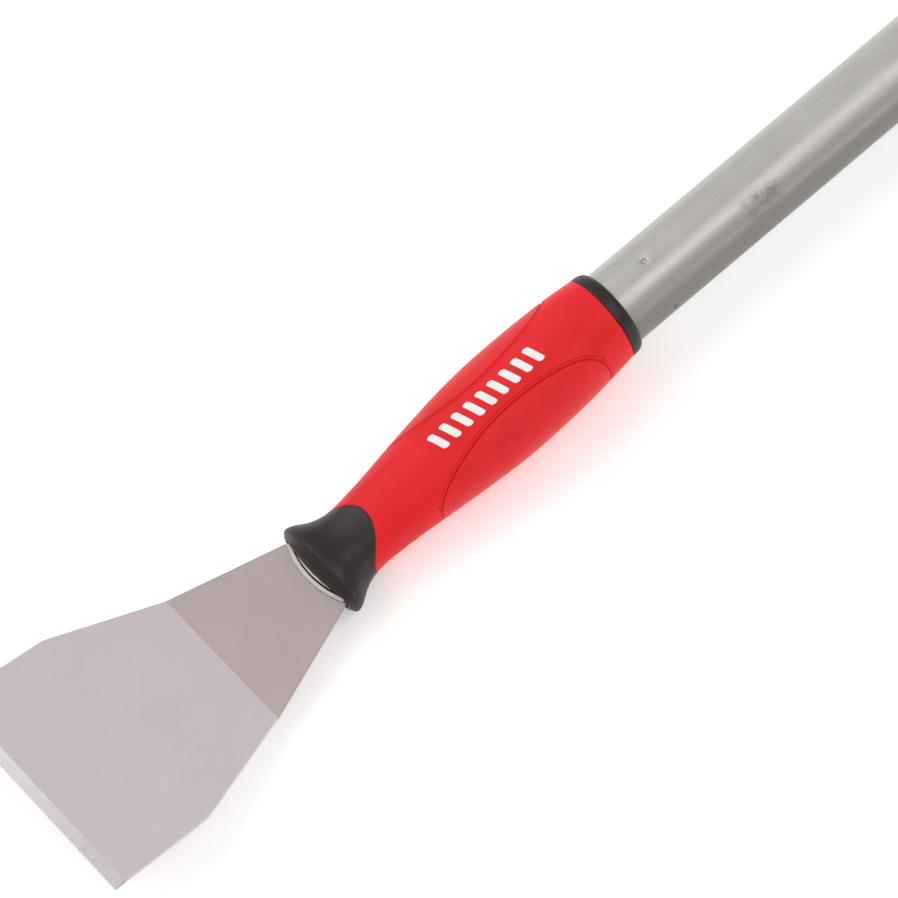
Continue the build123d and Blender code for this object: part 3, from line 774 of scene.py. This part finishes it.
# ------------------------------------------------------------------ stiffening plates
def plate_mesh(name, rise, front, mat, T=1.02, r=0.08):
    n = np.array([-math.sin(ST), 0, math.cos(ST)])
    u = np.array([math.cos(ST), 0, math.sin(ST)])
    o0 = np.array([BEND_X, 0, BEND_Z]) + n * rise
    # front arc through three points, then the flanks
    c = 3.6
    half = 16.6
    R = (half**2 + c**2) / (2 * c)
    am = math.asin(half / R)
    arc = [(front + R - R * math.cos(a), R * math.sin(a)) for a in np.linspace(-am, am, 61)]
    out = arc + [(51.8, 14.4), (58.0, 11.3)] + [(58.0, -11.3), (51.8, -14.4)]
    out = np.array(out)
    n_out = len(out)
    nxt = np.roll(out, -1, 0) - out
    prv = out - np.roll(out, 1, 0)
    tg = nxt / np.linalg.norm(nxt, axis=1, keepdims=True) + prv / np.linalg.norm(prv, axis=1, keepdims=True)
    tg /= np.linalg.norm(tg, axis=1, keepdims=True)
    inn = np.stack([-tg[:, 1], tg[:, 0]], -1)
    mid = np.array([56.0, 0.0])
    sgn = np.sign(((mid - out) * inn).sum(1))
    inn *= sgn[:, None]
    rows = []
    for k in (0.0, 0.35, 0.7, 1.0):
        th = k * np.pi / 2
        rows.append((out + inn * (r - r * math.sin(th)), r - r * math.cos(th)))
    for k in (0.0, 0.35, 0.7, 1.0):
        th = k * np.pi / 2
        rows.append((out + inn * (r - r * math.cos(th)), T - r + r * math.sin(th)))
    V = np.stack([o0 + q[:, :1] * u + q[:, 1:] * np.array([0, 1.0, 0]) + n * h for q, h in rows])
    faces = [tuple(q) for q in grid_faces(len(rows), n_out, wrap=True)]
    faces += [tuple(range(n_out)), tuple(range((len(rows) - 1) * n_out, len(rows) * n_out))[::-1]]
    return make(name, [(V, faces)], mat, angle=30)


plates = {
    "upper_inner_plate": plate_mesh("upper_inner_plate_skin", 0.02, 44.1, PLATE),
    "upper_outer_plate": plate_mesh("upper_outer_plate_skin", 1.36, 46.2, PLATE2),
    "lower_inner_plate": plate_mesh("lower_inner_plate_skin", -T_BLADE - 1.04, 44.1, PLATE),
    "lower_outer_plate": plate_mesh("lower_outer_plate_skin", -T_BLADE - 2.38, 46.2, PLATE2),
}


# painted shade: a thin near-black strip stands in for the shadow where the two upper plates meet
GAP = Mat("plate_gap_painted_shade")
_g = GAP.noise(900.0, 4.0, 0.6)
GAP.set(Base_Color=GAP.mix(GAP.ramp(_g, 0.35, 0.75), (0.010, 0.009, 0.008, 1), (0.030, 0.026, 0.022, 1)), Roughness=GAP.ramp(_g, 0.3, 0.7, 0.7, 0.85))
GAP.b.inputs["Specular IOR Level"].default_value = 0.1
GAP.set(Normal=GAP.bump(_g, 0.3, 0.00006))
plate_gap = plate_mesh("upper_plate_gap", 1.06, 45.62, GAP.done(), T=0.28, r=0.03)


# ------------------------------------------------------------------ printed mark: plain slanted bars
def print_marks():
    parts = []
    lift = 0.035
    # eight plain bars across the band between the panels
    n_bar = 9
    d0, d1 = 35.0, 89.5
    pitch = (d1 - d0) / n_bar
    for i in range(n_bar):
        dc = d0 + pitch * (i + 0.5)
        wdt = 3.1
        tall = 8.6
        slant = 0.3
        s = np.linspace(-1, 1, 25)
        t = np.linspace(-1, 1, 11)
        S, Tt = np.meshgrid(s, t, indexing="ij")
        # rounded ends
        cap = np.sqrt(np.clip(1 - np.clip((np.abs(S) - 0.78) / 0.22, 0, 1)**2, 0.0, 1))
        yy = S * tall / 2 * 1.0
        dd = dc + Tt * cap * wdt / 2 + yy * slant
        a = FRONT.a(dd)
        pp = np.arcsin(np.clip(yy / a, -1, 1))
        P = FRONT.point(dd, pp) + FRONT.normal(dd, pp) * lift
        parts.append((P, grid_faces(*P.shape[:2])))
    o = make("printed_bars", parts, PAINT, angle=0)
    return outward(o, axis_point)


marks = print_marks()

# ------------------------------------------------------------------ who stands for what
for piece, node, slot in (
    (front_shell, "front_grip_shell", "red_plastic"),
    (front_panels[0], "front_left_panel", "red_soft"),
    (front_panels[1], "front_right_panel", "red_soft"),
    (rear_shell, "rear_grip_shell", "red_plastic"),
    (rear_panels[0], "rear_left_panel", "red_soft"),
    (rear_panels[1], "rear_right_panel", "red_soft"),
    (guard, "blade_guard", "black_rubber"),
    (front_ring, "front_collar_ring", "black_plastic"),
    (rear_ring, "rear_collar_ring", "black_plastic"),
    (tube, "handle_tube", "tube_steel"),
    (blade, "scraper_blade", "blade_steel"),
    (plates["upper_inner_plate"], "upper_inner_plate", "plate_steel"),
    (plates["upper_outer_plate"], "upper_outer_plate", "plate_steel"),
    (plate_gap, "upper_outer_plate", "plate_steel"),
    (plates["lower_inner_plate"], "lower_inner_plate", "plate_steel"),
    (plates["lower_outer_plate"], "lower_outer_plate", "plate_steel"),
):
    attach(piece, "root")
    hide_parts(node)
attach(marks, "root")


def paint(node, mat):
    o = NODES[node]
    if not o.data.materials:
        o.data.materials.append(mat)
    for i in range(len(o.data.materials)):
        o.data.materials[i] = mat
    for s in o.material_slots:
        s.material = mat


paint("end_cap", BLACK)
paint("front_core", CORE)
paint("rear_core", CORE)
paint("tang_rivets", RIVET)

# ------------------------------------------------------------------ floor, light, camera
bpy.ops.mesh.primitive_plane_add(size=12.0, location=(0, 0, -0.0005))
floor = bpy.context.object
floor.name = "studio_floor"
fm = Mat("pale_floor")
fm.set(Base_Color=(0.96, 0.96, 0.96, 1), Roughness=0.9)
fm.b.inputs["Emission Color"].default_value = (1, 1, 1, 1)
fm.b.inputs["Emission Strength"].default_value = 0.28
fm.b.inputs["Specular IOR Level"].default_value = 0.1
floor.data.materials.append(fm.done())

# camera axes in the CAD frame
TH, BE, RO = 0.6999858520296961, 0.20158462049067694, 0.4188790204786391
F_PX = 5742.588648920778
TV = np.array([62.08316202933378, -52.91807302661534, 2182.4750815708903])
ex = np.array([math.cos(TH), -math.sin(TH), 0])
et = np.array([math.sin(TH), math.cos(TH), 0])
ez = np.array([0, 0, 1.0])
av = math.cos(BE) * ex + math.sin(BE) * ez
e1 = et
e2 = -(-math.sin(BE) * ex + math.cos(BE) * ez)
wv = math.cos(RO) * e1 + math.sin(RO) * e2
nv = -math.sin(RO) * e1 + math.cos(RO) * e2
right = Vector((av[0], -wv[0], nv[0]))
up = -Vector((av[1], -wv[1], nv[1]))
back = -Vector((av[2], -wv[2], nv[2]))
loc = Vector((-TV.dot(av), TV.dot(wv), -TV.dot(nv)))
loc = (loc + Vector((CX, 0, AXIS_Z))) * 0.001
cam_data = bpy.data.cameras.new("camera")
cam_data.sensor_width = 36.0
cam_data.sensor_fit = "HORIZONTAL"
cam_data.lens = F_PX * 36.0 / 898.0
cam_data.clip_start = 0.05
cam_data.clip_end = 50.0
cam = bpy.data.objects.new("camera", cam_data)
SCENE.collection.objects.link(cam)
M = Matrix((right, up, back)).transposed().to_4x4()
M.translation = loc
cam.matrix_world = M
SCENE.camera = cam

world = bpy.data.worlds.new("studio")
SCENE.world = world
world.use_nodes = True
bg = world.node_tree.nodes["Background"]
bg.inputs[0].default_value = (1.0, 0.99, 0.985, 1)
bg.inputs[1].default_value = 0.60


def softbox(name, direction, size, power, color=(1, 1, 1), dist=2.2, size_y=None):
    """An area light placed by its direction in the picture: right, up, towards the camera."""
    d = right * direction[0] + up * direction[1] + back * direction[2]
    d.normalize()
    target = Vector((-0.06, 0, 0.02))
    L = bpy.data.lights.new(name, "AREA")
    L.energy = power
    L.color = color
    L.size = size
    if size_y:
        L.shape = "RECTANGLE"
        L.size_y = size_y
    o = bpy.data.objects.new(name, L)
    SCENE.collection.objects.link(o)
    o.location = target + d * dist
    o.rotation_euler = d.to_track_quat("Z", "Y").to_euler()
    return o


softbox("key_upper_left", (-0.95, 0.75, 0.7), 2.1, 22.0)
softbox("side_glow", (0.87, -0.31, 0.36), 0.34, 3.2)
softbox("streak", (0.33, 0.27, 0.93), 1.6, 10.0, color=(1.0, 0.985, 0.96), size_y=0.8)

SCENE.view_settings.view_transform = "Standard"
SCENE.view_settings.look = "None"
